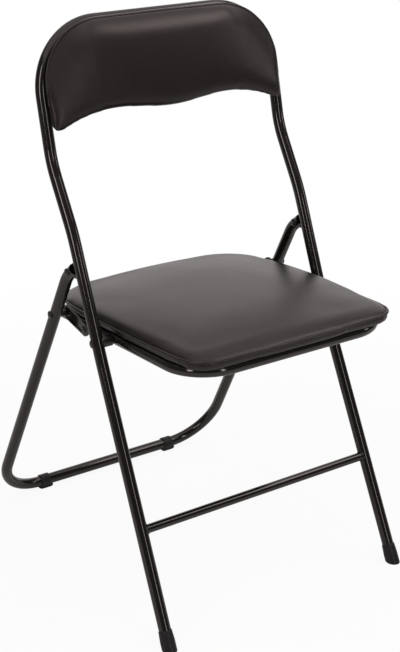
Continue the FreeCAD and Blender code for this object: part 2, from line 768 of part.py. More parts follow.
# Tail of the leg rivet, closed over the inner face of each link
tailHead = size("rivetHeadDia") / 2
tailProfile = [
    (0, -size("rivetHeadHigh")),
    (tailHead * 0.55, -size("rivetHeadHigh") * 0.92),
    (tailHead * 0.9, -size("rivetHeadHigh") * 0.5),
    (tailHead, 0),
    (size("rivetDia") / 2, 0),
    (size("rivetDia") / 2, size("linkThick")),
    (0, size("linkThick")),
]
tailRight = turned("link_tail_right", tailProfile)
tailRight.Placement = aim(linkLeg + right * linkInner, right)
tailLeft = mirrored("link_tail_left", tailRight)

# Rivets and spacers on the rear legs, facing the links
legShare = (linkLeg.z - rearBar.z) / (neckCorner.z - rearBar.z)
legHalf = rearHalf + (hingeHalf - rearHalf) * legShare
legFace = linkOuter + size("openPivotGap")
legRivetTop = legHalf + tubeRadius + size("splayGap") - legFace
legRivetProfile = [
    (0, 0),
    (size("rivetDia") / 2, 0),
    (size("rivetDia") / 2, legRivetTop),
    (tailHead, legRivetTop),
    (tailHead * 0.9, legRivetTop + size("rivetHeadHigh") * 0.5),
    (tailHead * 0.55, legRivetTop + size("rivetHeadHigh") * 0.92),
    (0, legRivetTop + size("rivetHeadHigh")),
]
legRivet = turned("link_leg_rivet_right", legRivetProfile)
legRivet.Placement = aim(linkLeg + right * legFace, right)
legRivets = together("link_leg_rivets", [legRivet, mirrored("link_leg_rivet_left", legRivet)])
legSpacerRun = repr(legHalf - legFace)
legSpacerOuter = cylinder("leg_spacer_outer", "dims.linkSpacerDia", legSpacerRun, linkLeg + right * legFace, right)
legSpacerBore = cylinder("leg_spacer_bore", "dims.rivetDia", legSpacerRun, linkLeg + right * legFace, right)
legSpacerTube = cut("leg_spacer_tube", legSpacerOuter, legSpacerBore)
legSpacerRight = cut("link_leg_spacer_right", legSpacerTube, rearEnvelope)
legSpacers = together("link_leg_spacers", [legSpacerRight, mirrored("link_leg_spacer_left", legSpacerRight)])

# Back pieces are drawn flat: X across, Y up along the back, Z towards the sitter
backY = kickY + (backDatum - kickHeight) * tan(size("backAngle"))
backPlace = Placement(Vector(0, backY, backDatum), Rotation(right, 90 - size("backAngle")))


def backOutline(inset):
    # round upper corners, brace-shaped lower edge with two arches
    half = backHalf - inset
    top = backTop - inset
    corner = backCorner - inset
    foot = backFoot + inset
    slant = math.sqrt(0.5)
    lower = [
        Vector(-backHalf + size("backFootRun") + inset, foot, 0),
        Vector(-size("backArchAt") * 1.75, foot * 0.4 + (backArch + inset) * 0.6, 0),
        Vector(-size("backArchAt"), backArch + inset, 0),
        Vector(0, backDip + inset, 0),
        Vector(size("backArchAt"), backArch + inset, 0),
        Vector(size("backArchAt") * 1.75, foot * 0.4 + (backArch + inset) * 0.6, 0),
        Vector(backHalf - size("backFootRun") - inset, foot, 0),
    ]
    brace = Part.BSplineCurve()
    brace.interpolate(lower)
    a = Vector(half, foot, 0)
    b = Vector(half, top - corner, 0)
    c = Vector(half - corner, top, 0)
    d = Vector(-half + corner, top, 0)
    e = Vector(-half, top - corner, 0)
    f = Vector(-half, foot, 0)
    return [
        brace,
        Part.LineSegment(lower[-1], a),
        Part.LineSegment(a, b),
        Part.Arc(b, Vector(half - corner + corner * slant, top - corner + corner * slant, 0), c),
        Part.LineSegment(c, d),
        Part.Arc(d, Vector(-half + corner - corner * slant, top - corner + corner * slant, 0), e),
        Part.LineSegment(e, f),
        Part.LineSegment(f, lower[0]),
    ]


# Four tabs inside the back loop of the frame tube
down = Vector(0, -1, 0)
tabSide = loopRun * size("backTabSideShare")
tabTop = (frameHalf - topBend) * size("backTabTopShare")
backTabSpots = {
    "side_right": (Vector(frameHalf, tabSide, 0), left),
    "side_left": (Vector(-frameHalf, tabSide, 0), right),
    "top_right": (Vector(tabTop, loopRun, 0), down),
    "top_left": (Vector(-tabTop, loopRun, 0), down),
}
backTabs = []
backScrewItems = []
backPilots = []
for name, (spot, inward) in backTabSpots.items():
    eye = tabEye(spot, inward)
    backTabs.append(weldedTab("backrest_tab_" + name, backPlace, spot, inward, tubeRadius, frontEnvelope))
    backScrewItems.append(tabScrew("backrest_screw_" + name, backPlace, eye, tubeRadius))
    backPilots.append(circle2d(eye.x, eye.y, size("screwDia") / 2))
backScrews = together("backrest_screws", backScrewItems)

# Back board against the front of the tube
backBoard = body("backrest_board")
backSketch = sketchOn(backBoard, "back_board_outline", "XY_Plane", backOutline(size("backBoardInset")))
pad(backBoard, "back_board_pad", backSketch, "dims.backBoardThick")
backPilotHoles = backBoard.newObject("PartDesign::Pocket", "back_board_pilot_holes")
backPilotHoles.Profile = sketchOn(backBoard, "back_board_pilots", "XY_Plane", backPilots)
backPilotHoles.Reversed = True
backPilotHoles.setExpression("Length", "dims.screwBite")
backBoard.Placement = backPlace.multiply(Placement(Vector(0, 0, tubeRadius), Rotation()))

# Back cushion: crowned face, rounded rim, edge drawn back around the board
backBlank = body("backrest_cushion_blank")
backCushionSketch = sketchOn(backBlank, "back_cushion_outline", "XY_Plane", backOutline(0))
pad(backBlank, "back_cushion_pad", backCushionSketch, "dims.backCushionHigh")
backReach = math.hypot(backHalf, (backTop - backFoot) / 2)
backDomeRadius = (backReach ** 2 + size("backCrown") ** 2) / (2 * size("backCrown"))
backHigh = Vector(0, (backTop + backArch) / 2, size("backCushionHigh"))
backSoft = crowned(
    "backrest_cushion",
    backBlank,
    backDomeRadius,
    backHigh,
    size("backTuck") + 0.5,
    (0.0, size("backTuck")),
    size("backEdge"),
)
backPocket = body("back_board_pocket")
backPocketEdges = backOutline(size("backBoardInset") - size("cushionGap"))
backPocketSketch = sketchOn(backPocket, "back_pocket_outline", "XY_Plane", backPocketEdges)
pad(backPocket, "back_pocket_pad", backPocketSketch, "dims.backDrop + dims.cushionGap + 10")
backPocket.Placement.Base = Vector(0, 0, -10)
backCushion = cut("backrest_cushion", backSoft, backPocket)
backBase = tubeRadius + size("backBoardThick") - size("backDrop")
backCushion.Placement = backPlace.multiply(Placement(Vector(0, 0, backBase), Rotation()))

nodes = [
    frontFrame,
    crossBar,
    capRight,
    capLeft,
    tongueRight,
    tongueLeft,
    bushes,
    pivotRivets,
    backBoard,
    backCushion,
    backScrews,
    rearFrame,
    shoeRight,
    shoeLeft,
    hingeRivets,
    legRivets,
    legSpacers,
    seatRail,
    plugRight,
    plugLeft,
    seatBoard,
    seatCushion,
    seatScrews,
    seatRivets,
    seatSpacers,
    linkBody,
    linkLeft,
    tailRight,
    tailLeft,
] + seatTabs + backTabs

doc.recompute()
for item in doc.Objects:
    state = item.State
    if "Invalid" in state or "Error" in state:
        raise RuntimeError("%s did not rebuild" % item.Label)
for node in nodes:
    if node.Shape.isNull() or not node.Shape.isValid() or not node.Shape.Solids:
        raise RuntimeError("%s has no sound solid" % node.Label)
    node.Shape.exportStep("parts/%s.step" % node.Label)
    print(node.Label, len(node.Shape.Solids), round(node.Shape.Volume, 1))
print("link span", round(linkSpan, 3), "reach", round(linkReach, 3), "fold", round(foldAngle, 3))
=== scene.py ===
import bpy
import bmesh
import math
from mathutils import Matrix, Vector
from mathutils.bvhtree import BVHTree
from mathutils.kdtree import KDTree


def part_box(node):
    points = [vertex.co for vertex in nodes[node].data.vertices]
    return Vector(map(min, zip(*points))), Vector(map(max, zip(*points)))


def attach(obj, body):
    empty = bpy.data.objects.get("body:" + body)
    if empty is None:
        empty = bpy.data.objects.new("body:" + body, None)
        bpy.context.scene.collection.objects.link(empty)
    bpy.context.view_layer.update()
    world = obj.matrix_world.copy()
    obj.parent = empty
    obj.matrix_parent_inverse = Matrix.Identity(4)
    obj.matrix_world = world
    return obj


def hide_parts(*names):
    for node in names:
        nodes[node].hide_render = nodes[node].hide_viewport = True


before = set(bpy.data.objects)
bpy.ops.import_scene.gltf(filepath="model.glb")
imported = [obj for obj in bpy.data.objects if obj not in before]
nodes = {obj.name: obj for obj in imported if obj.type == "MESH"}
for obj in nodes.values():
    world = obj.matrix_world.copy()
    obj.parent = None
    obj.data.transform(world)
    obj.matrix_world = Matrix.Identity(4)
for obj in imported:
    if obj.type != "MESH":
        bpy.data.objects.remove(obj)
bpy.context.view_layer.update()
scene = bpy.context.scene

# seat and back have flat frames of their own: x across, z out of the padding
places = {
    "seat": {"origin": (0, -0.0564, 0.3805), "lean": -3.7},
    "back": {"origin": (0, 0.05783, 0.617), "lean": 76.1},
}


def flatFrame(place):
    return Matrix.Translation(place["origin"]) @ Matrix.Rotation(math.radians(place["lean"]), 4, "X")


seatFrame = flatFrame(places["seat"])
backFrame = flatFrame(places["back"])

shot = {
    "place": (-1.0952, -1.5862, 1.1451),
    "azimuth": -34.99,
    "elevation": 22.63,
    "roll": 0.588,
    "lens": 79.145,
    "sensor": 36,  # on the long side
}
az = math.radians(shot["azimuth"])
el = math.radians(shot["elevation"])
roll = math.radians(shot["roll"])
back = Vector((math.sin(az) * math.cos(el), -math.cos(az) * math.cos(el), math.sin(el)))
flat = Vector((math.cos(az), math.sin(az), 0))
upright = back.cross(flat)
across = flat * math.cos(roll) + upright * math.sin(roll)
camData = bpy.data.cameras.new("camera")
camData.lens = shot["lens"]
camData.sensor_width = shot["sensor"]
camData.sensor_fit = "AUTO"
cam = bpy.data.objects.new("camera", camData)
turn = Matrix((across, back.cross(across), back)).transposed().to_4x4()
cam.matrix_world = Matrix.Translation(shot["place"]) @ turn
scene.collection.objects.link(cam)
scene.camera = cam
scene.view_settings.view_transform = "Standard"
print("camera set")


def newObject(name, mesh):
    obj = bpy.data.objects.new(name, mesh)
    scene.collection.objects.link(obj)
    return obj


def bakedMesh(obj):
    depsgraph = bpy.context.evaluated_depsgraph_get()
    return bpy.data.meshes.new_from_object(obj.evaluated_get(depsgraph))


def paint(nodeName, material):
    for slot in nodes[nodeName].material_slots:
        slot.material = material


def surfaceOf(mesh):
    points = [v.co.copy() for v in mesh.vertices]
    return BVHTree.FromPolygons(points, [tuple(p.vertices) for p in mesh.polygons])


# node helpers for shader and geometry trees
def groupTree(name, kind, inputs, outputs):
    tree = bpy.data.node_groups.new(name, kind)
    for label, socketKind, value in inputs:
        socket = tree.interface.new_socket(label, in_out="INPUT", socket_type=socketKind)
        if value is not None:
            socket.default_value = value
    for label, socketKind in outputs:
        tree.interface.new_socket(label, in_out="OUTPUT", socket_type=socketKind)
    return tree, tree.nodes.new("NodeGroupInput"), tree.nodes.new("NodeGroupOutput")


def feed(tree, socket, value):
    if isinstance(value, (int, float, tuple)):
        socket.default_value = value
    else:
        tree.links.new(value, socket)


def mathNode(tree, kind, *values):
    node = tree.nodes.new("ShaderNodeMath")
    node.operation = kind
    for socket, value in zip(node.inputs, values):
        feed(tree, socket, value)
    return node.outputs[0]


def mixColors(tree, factor, first, second):
    node = tree.nodes.new("ShaderNodeMix")
    node.data_type = "RGBA"
    for index, value in ((0, factor), (6, first), (7, second)):
        feed(tree, node.inputs[index], value)
    return node.outputs[2]


def rangeNode(tree, value, low, high, toLow, toHigh):
    node = tree.nodes.new("ShaderNodeMapRange")
    for socket, entry in zip(node.inputs, (value, low, high, toLow, toHigh)):
        feed(tree, socket, entry)
    return node.outputs[0]


def noiseNode(tree, vector, scale, detail):
    node = tree.nodes.new("ShaderNodeTexNoise")
    tree.links.new(vector, node.inputs["Vector"])
    feed(tree, node.inputs["Scale"], scale)
    node.inputs["Detail"].default_value = detail
    return node.outputs["Fac"]


# ripple of a sprayed coat, dust and handling marks
coatDetail = {
    "rippleDetail": 2.0,
    "cloudScale": 14.0,
    "cloudFrom": 0.3,
    "cloudTo": 0.7,
    "speckScale": 2600.0,
    "speckFrom": 0.62,
    "speckTo": 0.8,
}


def makeCoatGroup():
    tree, enter, leave = groupTree(
        "sprayedCoat",
        "ShaderNodeTree",
        [
            ("Color", "NodeSocketColor", (0.02, 0.02, 0.02, 1)),
            ("Dust Color", "NodeSocketColor", (0.05, 0.047, 0.045, 1)),
            ("Dust", "NodeSocketFloat", 0.2),
            ("Ripple Scale", "NodeSocketFloat", 600.0),
            ("Gloss Low", "NodeSocketFloat", 0.2),
            ("Gloss High", "NodeSocketFloat", 0.3),
        ],
        [("Color", "NodeSocketColor"), ("Roughness", "NodeSocketFloat"), ("Height", "NodeSocketFloat")],
    )
    coords = tree.nodes.new("ShaderNodeTexCoord").outputs["Object"]
    ripple = noiseNode(tree, coords, enter.outputs["Ripple Scale"], coatDetail["rippleDetail"])
    cloud = noiseNode(tree, coords, coatDetail["cloudScale"], 4.0)
    specks = noiseNode(tree, coords, coatDetail["speckScale"], 1.0)
    dustMask = rangeNode(tree, specks, coatDetail["speckFrom"], coatDetail["speckTo"], 0.0, 1.0)
    dustMask = mathNode(tree, "MULTIPLY", dustMask, enter.outputs["Dust"])
    tint = mixColors(tree, dustMask, enter.outputs["Color"], enter.outputs["Dust Color"])
    tree.links.new(tint, leave.inputs["Color"])
    glossLow, glossHigh = enter.outputs["Gloss Low"], enter.outputs["Gloss High"]
    gloss = rangeNode(tree, cloud, coatDetail["cloudFrom"], coatDetail["cloudTo"], glossLow, glossHigh)
    tree.links.new(gloss, leave.inputs["Roughness"])
    tree.links.new(ripple, leave.inputs["Height"])
    return tree


# pressed leather grain of the vinyl cover, with painted shade darkening the grain's creases
grainDetail = {
    "wobbleScale": 260.0,
    "wobbleReach": 0.0012,
    "creaseWidth": 0.22,
    "poreScale": 3200.0,
    "poreShare": 0.25,
    "cloudScale": 9.0,
    "cloudFrom": 0.3,
    "cloudTo": 0.7,
    "crestPatchFrom": 0.35,
    "crestPatchTo": 0.7,
}


def makeGrainGroup():
    tree, enter, leave = groupTree(
        "vinylGrain",
        "ShaderNodeTree",
        [
            ("Color", "NodeSocketColor", (0.02, 0.02, 0.02, 1)),
            ("Lit Crest Color", "NodeSocketColor", (0.03, 0.03, 0.03, 1)),
            ("Cell Scale", "NodeSocketFloat", 700.0),
            ("Gloss Low", "NodeSocketFloat", 0.3),
            ("Gloss High", "NodeSocketFloat", 0.4),
        ],
        [("Color", "NodeSocketColor"), ("Roughness", "NodeSocketFloat"), ("Height", "NodeSocketFloat")],
    )
    coords = tree.nodes.new("ShaderNodeTexCoord").outputs["Object"]
    wobble = tree.nodes.new("ShaderNodeTexNoise")
    tree.links.new(coords, wobble.inputs["Vector"])
    wobble.inputs["Scale"].default_value = grainDetail["wobbleScale"]
    wobble.inputs["Detail"].default_value = 2.0
    shift = tree.nodes.new("ShaderNodeVectorMath")
    shift.operation = "MULTIPLY_ADD"
    tree.links.new(wobble.outputs["Color"], shift.inputs[0])
    shift.inputs[1].default_value = [grainDetail["wobbleReach"]] * 3
    tree.links.new(coords, shift.inputs[2])
    cells = tree.nodes.new("ShaderNodeTexVoronoi")
    cells.feature = "DISTANCE_TO_EDGE"
    tree.links.new(shift.outputs[0], cells.inputs["Vector"])
    tree.links.new(enter.outputs["Cell Scale"], cells.inputs["Scale"])
    crease = rangeNode(tree, cells.outputs["Distance"], 0.0, grainDetail["creaseWidth"], 0.0, 1.0)
    pores = noiseNode(tree, coords, grainDetail["poreScale"], 2.0)
    height = mathNode(tree, "MULTIPLY_ADD", pores, grainDetail["poreShare"], crease)
    tree.links.new(height, leave.inputs["Height"])
    cloud = noiseNode(tree, coords, grainDetail["cloudScale"], 4.0)
    # painted shade: the grain's creases keep the darker colour, and the crests take the lighter colour in
    # random cloudy patches
    litCrestShare = rangeNode(tree, cloud, grainDetail["crestPatchFrom"], grainDetail["crestPatchTo"], 0.0, 1.0)
    litCrestShare = mathNode(tree, "MULTIPLY", litCrestShare, crease)
    tint = mixColors(tree, litCrestShare, enter.outputs["Color"], enter.outputs["Lit Crest Color"])
    tree.links.new(tint, leave.inputs["Color"])
    glossLow, glossHigh = enter.outputs["Gloss Low"], enter.outputs["Gloss High"]
    gloss = rangeNode(tree, cloud, grainDetail["cloudFrom"], grainDetail["cloudTo"], glossLow, glossHigh)
    tree.links.new(gloss, leave.inputs["Roughness"])
    return tree


coatGroup = makeCoatGroup()
grainGroup = makeGrainGroup()


def finishFrom(name, group, values, shader, bump):
    material = bpy.data.materials.new(name)
    material.use_nodes = True
    tree = material.node_tree
    surface = tree.nodes["Principled BSDF"]
    for label, value in shader.items():
        surface.inputs[label].default_value = value
    effect = tree.nodes.new("ShaderNodeGroup")
    effect.node_tree = group
    for label, value in values.items():
        effect.inputs[label].default_value = value
    tree.links.new(effect.outputs["Color"], surface.inputs["Base Color"])
    tree.links.new(effect.outputs["Roughness"], surface.inputs["Roughness"])
    relief = tree.nodes.new("ShaderNodeBump")
    relief.inputs["Strength"].default_value = bump["strength"]
    relief.inputs["Distance"].default_value = bump["depth"]
    tree.links.new(effect.outputs["Height"], relief.inputs["Height"])
    tree.links.new(relief.outputs["Normal"], surface.inputs["Normal"])
    return material


powderCoat = finishFrom(
    "glossBlackCoat",
    coatGroup,
    {
        "Color": (0.0085, 0.007, 0.0066, 1),
        "Dust Color": (0.03, 0.028, 0.027, 1),
        "Dust": 0.25,
        "Ripple Scale": 260.0,
        "Gloss Low": 0.09,
        "Gloss High": 0.13,
    },
    {"Specular IOR Level": 0.62, "Specular Tint": (1.0, 0.94, 0.92, 1)},
    {"strength": 0.008, "depth": 0.0005},
)
blackSteel = finishFrom(
    "blackRivetSteel",
    coatGroup,
    {
        "Color": (0.013, 0.0115, 0.011, 1),
        "Dust Color": (0.05, 0.047, 0.045, 1),
        "Dust": 0.4,
        "Ripple Scale": 900.0,
        "Gloss Low": 0.28,
        "Gloss High": 0.42,
    },
    {"Specular IOR Level": 0.5, "Specular Tint": (1.0, 0.95, 0.93, 1)},
    {"strength": 0.15, "depth": 0.0004},
)
footRubber = finishFrom(
    "mattRubber",
    coatGroup,
    {
        "Color": (0.0065, 0.006, 0.0058, 1),
        "Dust Color": (0.03, 0.028, 0.027, 1),
        "Dust": 0.25,
        "Ripple Scale": 1500.0,
        "Gloss Low": 0.38,
        "Gloss High": 0.5,
    },
    {"Specular IOR Level": 0.4},
    {"strength": 0.3, "depth": 0.0003},
)
plugPlastic = finishFrom(
    "mattPlugPlastic",
    coatGroup,
    {
        "Color": (0.012, 0.0118, 0.0115, 1),
        "Dust Color": (0.04, 0.038, 0.037, 1),
        "Dust": 0.2,
        "Ripple Scale": 1200.0,
        "Gloss Low": 0.42,
        "Gloss High": 0.55,
    },
    {"Specular IOR Level": 0.5},
    {"strength": 0.25, "depth": 0.0003},
)
facedBoard = finishFrom(
    "facedFibreboard",
    coatGroup,
    {
        "Color": (0.02, 0.0185, 0.0175, 1),
        "Dust Color": (0.075, 0.066, 0.056, 1),
        "Dust": 0.6,
        "Ripple Scale": 260.0,
        "Gloss Low": 0.5,
        "Gloss High": 0.68,
    },
    {"Specular IOR Level": 0.4},
    {"strength": 0.35, "depth": 0.0006},
)
vinylCover = finishFrom(
    "softBlackVinyl",
    grainGroup,
    {
        "Color": (0.0082, 0.0069, 0.0066, 1),
        "Lit Crest Color": (0.011, 0.0094, 0.009, 1),
        "Cell Scale": 820.0,
        "Gloss Low": 0.31,
        "Gloss High": 0.37,
    },
    {"Specular IOR Level": 0.5, "Specular Tint": (1.0, 0.87, 0.86, 1)},
    {"strength": 0.14, "depth": 0.0003},
)
print("finishes made")

# finishes on the pieces that come straight from the frame
byFinish = {
    powderCoat: ["front_frame_tube", "front_cross_bar", "rear_frame_tube", "seat_rail"],
    blackSteel: ["seat_pivot_rivets", "leg_hinge_rivets", "link_leg_rivets", "link_seat_rivets"],
    footRubber: ["front_foot_right", "front_foot_left", "rear_foot_right", "rear_foot_left"],
    plugPlastic: ["seat_rail_plug_right", "seat_rail_plug_left"],
    facedBoard: ["seat_board", "backrest_board"],
}
coated = ("leg_hinge_tongue", "fold_link", "backrest_tab", "seat_tab")
smallSteel = ("bushes", "spacers", "screws")
byFinish[powderCoat] += [n for n in nodes if n.startswith(coated)]
byFinish[blackSteel] += [n for n in nodes if n.startswith("link_tail") or n.endswith(smallSteel)]
for material, names in byFinish.items():
    for nodeName in names:
        paint(nodeName, material)
print("frame pieces finished")


castFrom = 0.4  # rays at a pad's edge start this far out
mergeReach = 0.00002


# how far each point of a pad lies inside its own edge, seen square on
def edgeDistances(mesh, pad, stretch):
    surface = surfaceOf(mesh)
    middle = Vector((0, pad["middle"], pad["seam"]))
    rim = KDTree(pad["edgeSamples"])
    for step in range(pad["edgeSamples"]):
        angle = 2 * math.pi * step / pad["edgeSamples"]
        outward = Vector((math.cos(angle), math.sin(angle), 0))
        hit = surface.ray_cast(middle + outward * castFrom, -outward)[0]
        if hit is not None:
            rim.insert(Vector((hit.x / stretch, hit.y, 0)), step)
    rim.balance()
    return [rim.find(Vector((v.co.x / stretch, v.co.y, 0)))[2] for v in mesh.vertices]


def relax(bm, verts, passes, sideways):
    for count in range(passes):
        bmesh.ops.smooth_vert(
            bm, verts=verts, factor=0.5, use_axis_x=sideways, use_axis_y=sideways, use_axis_z=True
        )


# the frame's pad solid as one even skin, with the hollow for the board closed
def padBlank(name, nodeName, place, pad):
    mesh = nodes[nodeName].data.copy()
    mesh.materials.clear()
    mesh.transform(place.inverted())
    lowest = min(v.co.z for v in mesh.vertices)
    for v, reach in zip(mesh.vertices, edgeDistances(mesh, pad, 1.0)):
        if reach > pad["hollowFrom"] and v.co.z < pad["hollowTop"]:
            v.co.z = lowest
    bm = bmesh.new()
    bm.from_mesh(mesh)
    bmesh.ops.remove_doubles(bm, verts=bm.verts, dist=mergeReach)
    bmesh.ops.dissolve_degenerate(bm, edges=bm.edges, dist=mergeReach)
    bm.to_mesh(mesh)
    bm.free()
    blank = newObject(name + "_blank", mesh)
    remesh = blank.modifiers.new("voxels", "REMESH")
    remesh.mode = "VOXEL"
    remesh.voxel_size = pad["voxel"]
    soft = newObject(name, bakedMesh(blank))
    bpy.data.objects.remove(blank)
    bm = bmesh.new()
    bm.from_mesh(soft.data)
    relax(bm, bm.verts, pad["smoothing"], True)  # takes the voxel steps out
    bm.to_mesh(soft.data)
    bm.free()
    return soft


# thin beside the seam and full inside, with the cover drawn down over the edge
def shapePad(soft, pad):
    lowest = min(v.co.z for v in soft.data.vertices)
    for v, reach in zip(soft.data.vertices, edgeDistances(soft.data, pad, pad["sideStretch"])):
        above = v.co.z - pad["seam"]
        if above > 0:
            inside = min(reach / pad["crownWidth"], 1.0)
            fromFull = min(max((v.co.y - pad["fullAt"]) / pad["fullBlend"], 0.0), 1.0)
            thin = (1 - pad["rimShare"]) * (1 - inside) ** pad["rimCurve"] * fromFull
            v.co.z = pad["seam"] + above * (1 - thin) * pad["lift"]
        else:
            deep = above / (lowest - pad["seam"])
            deep *= max(1 - reach / pad["skirtWidth"], 0.0)
            v.co.z -= pad["skirt"] * deep
            v.co.x += math.copysign(pad["flare"] * deep, v.co.x)
    bm = bmesh.new()
    bm.from_mesh(soft.data)
    relax(bm, bm.verts, pad["evening"], False)
    crown = [v for v in bm.verts if v.co.z > pad["seam"] + pad["crownFrom"]]
    relax(bm, crown, pad["crownSmoothing"], False)
    for v in bm.verts:
        ahead = v.co.y - pad["middle"]
        v.co.x *= pad["growSide"]
        v.co.y += ahead * (pad["growHigh"] if ahead > 0 else pad["growLow"])
    bm.to_mesh(soft.data)
    bm.free()


coverCloth = {
    "quality": 5,
    "mass": 0.3,
    "tension_stiffness": 15,
    "compression_stiffness": 15,
    "shear_stiffness": 5,
    "bending_stiffness": 0.6,
    "use_pressure": True,
}


def clothUnderPressure(soft, free, pad):
    holdGroup = soft.vertex_groups.new(name="held")
    for index, share in enumerate(free):
        holdGroup.add([index], 1.0 - share, "REPLACE")
    cloth = soft.modifiers.new("swell", "CLOTH")
    for label, value in coverCloth.items():
        setattr(cloth.settings, label, value)
    cloth.settings.uniform_pressure_force = pad["pressure"]
    cloth.settings.effector_weights.gravity = 0
    cloth.settings.vertex_group_mass = "held"
    cloth.collision_settings.use_collision = False
    cloth.point_cache.frame_start = 1
    cloth.point_cache.frame_end = pad["frames"]
    for number in range(1, pad["frames"] + 1):
        scene.frame_set(number)
    swollen = bakedMesh(soft)
    scene.frame_set(1)
    soft.modifiers.clear()
    soft.vertex_groups.clear()
    return swollen


# the skin starts a little smaller and is swollen as cloth, held where it is tucked round the board
def swellPad(soft, pad):
    free = []
    for v in soft.data.vertices:
        share = min(max((v.co.z - pad["held"]) / pad["blendHeight"], 0.0), 1.0)
        free.append(share * share * (3 - 2 * share))
    normals = [v.normal.copy() for v in soft.data.vertices]
    start = [v.co - n * pad["shrink"] * f for v, n, f in zip(soft.data.vertices, normals, free)]
    rise = [pad["cap"] * f for f in free]
    soft.data.vertices.foreach_set("co", [c for co in start for c in co])
    swollen = clothUnderPressure(soft, free, pad)
    rise = []
    for after, before, normal, share in zip(swollen.vertices, start, normals, free):
        rise.append(min(max((after.co - before).dot(normal), 0.0), pad["cap"] * share))
    bpy.data.meshes.remove(swollen)

    # a taut cover spreads the swelling evenly over its neighbours
    beside = [[] for v in soft.data.vertices]
    for edge in soft.data.edges:
        one, two = edge.vertices
        beside[one].append(two)
        beside[two].append(one)
    for count in range(pad["tautness"]):
        rise = [0.5 * r + 0.5 * sum(rise[i] for i in ring) / len(ring) for r, ring in zip(rise, beside)]
    for v, before, normal, swell in zip(soft.data.vertices, start, normals, rise):
        v.co = before + normal * swell


# the cover is drawn in beside the seam
def drawInSeam(soft, pad):
    bm = bmesh.new()
    bm.from_mesh(soft.data)
    bm.normal_update()
    for v in bm.verts:
        nearSeam = abs(v.co.z - pad["seam"]) / pad["seamWidth"]
        sideways = Vector((v.normal.x, v.normal.y, 0))
        if nearSeam < 1 and sideways.length > 0.5:
            v.co -= sideways.normalized() * pad["seamDepth"] * (1 - nearSeam * nearSeam) ** 2
    bm.to_mesh(soft.data)
    bm.free()


def swollenPad(name, nodeName, place, pad):
    soft = padBlank(name, nodeName, place, pad)
    shapePad(soft, pad)
    swellPad(soft, pad)
    drawInSeam(soft, pad)
    finer = soft.modifiers.new("finer", "SUBSURF")
    finer.levels = 1
    finer.render_levels = 1
    mesh = bakedMesh(soft)
    soft.modifiers.clear()
    soft.data = mesh
    for face in mesh.polygons:
        face.use_smooth = True
    mesh.materials.clear()
    mesh.materials.append(vinylCover)
    return soft


# a bead swept along a path: welts of the padding, welds of the frame
def beadTree():
    tree, enter, leave = groupTree(
        "beadAlongPath",
        "GeometryNodeTree",
        [
            ("Path", "NodeSocketGeometry", None),
            ("Bead Radius", "NodeSocketFloat", 0.0013),
            ("Point Spacing", "NodeSocketFloat", 0.004),
            ("Sides", "NodeSocketInt", 8),
            ("Lumps", "NodeSocketFloat", 0.0),
            ("Lump Scale", "NodeSocketFloat", 400.0),
            ("Finish", "NodeSocketMaterial", None),
        ],
        [("Bead", "NodeSocketGeometry")],
    )
    even = tree.nodes.new("GeometryNodeResampleCurve")
    even.mode = "LENGTH"
    ring = tree.nodes.new("GeometryNodeCurvePrimitiveCircle")
    sweep = tree.nodes.new("GeometryNodeCurveToMesh")
    sweep.inputs["Fill Caps"].default_value = True
    noise = tree.nodes.new("ShaderNodeTexNoise")
    noise.inputs["Detail"].default_value = 1.0
    outward = tree.nodes.new("GeometryNodeInputNormal")
    push = tree.nodes.new("ShaderNodeVectorMath")
    push.operation = "SCALE"
    lumpy = tree.nodes.new("GeometryNodeSetPosition")
    shade = tree.nodes.new("GeometryNodeSetShadeSmooth")
    real = tree.nodes.new("GeometryNodeRealizeInstances")
    finish = tree.nodes.new("GeometryNodeSetMaterial")
    link = tree.links.new
    link(enter.outputs["Path"], even.inputs["Curve"])
    link(enter.outputs["Point Spacing"], even.inputs["Length"])
    link(enter.outputs["Sides"], ring.inputs["Resolution"])
    link(enter.outputs["Bead Radius"], ring.inputs["Radius"])
    link(even.outputs["Curve"], sweep.inputs["Curve"])
    link(ring.outputs["Curve"], sweep.inputs["Profile Curve"])
    link(enter.outputs["Lump Scale"], noise.inputs["Scale"])
    centred = mathNode(tree, "SUBTRACT", noise.outputs["Fac"], 0.5)
    link(outward.outputs[0], push.inputs[0])
    link(mathNode(tree, "MULTIPLY", centred, enter.outputs["Lumps"]), push.inputs["Scale"])
    link(sweep.outputs["Mesh"], lumpy.inputs["Geometry"])
    link(push.outputs[0], lumpy.inputs["Offset"])
    link(lumpy.outputs["Geometry"], shade.inputs["Geometry"])
    link(shade.outputs["Geometry"], real.inputs["Geometry"])
    link(real.outputs["Geometry"], finish.inputs["Geometry"])
    link(enter.outputs["Finish"], finish.inputs["Material"])
    link(finish.outputs["Geometry"], leave.inputs["Bead"])
    return tree


beadNodes = beadTree()
beadMerge = 0.00001


def setInputs(modifier, values):
    for entry in modifier.node_group.interface.items_tree:
        if entry.in_out == "INPUT" and entry.name in values:
            modifier[entry.identifier] = values[entry.name]


def beadsAlong(name, paths, closed, values):
    curve = bpy.data.curves.new(name + "_path", "CURVE")
    curve.dimensions = "3D"
    for points in paths:
        spline = curve.splines.new("POLY")
        spline.points.add(len(points) - 1)
        for point, co in zip(spline.points, points):
            point.co = (co.x, co.y, co.z, 1)
        spline.use_cyclic_u = closed
    path = newObject(name + "_path", curve)
    sweep = path.modifiers.new("bead", "NODES")
    sweep.node_group = beadNodes
    setInputs(sweep, values)
    mesh = bakedMesh(path)
    bpy.data.objects.remove(path)
    bm = bmesh.new()
    bm.from_mesh(mesh)
    bmesh.ops.remove_doubles(bm, verts=bm.verts, dist=beadMerge)
    bmesh.ops.recalc_face_normals(bm, faces=bm.faces)
    bm.to_mesh(mesh)
    bm.free()
    return newObject(name, mesh)


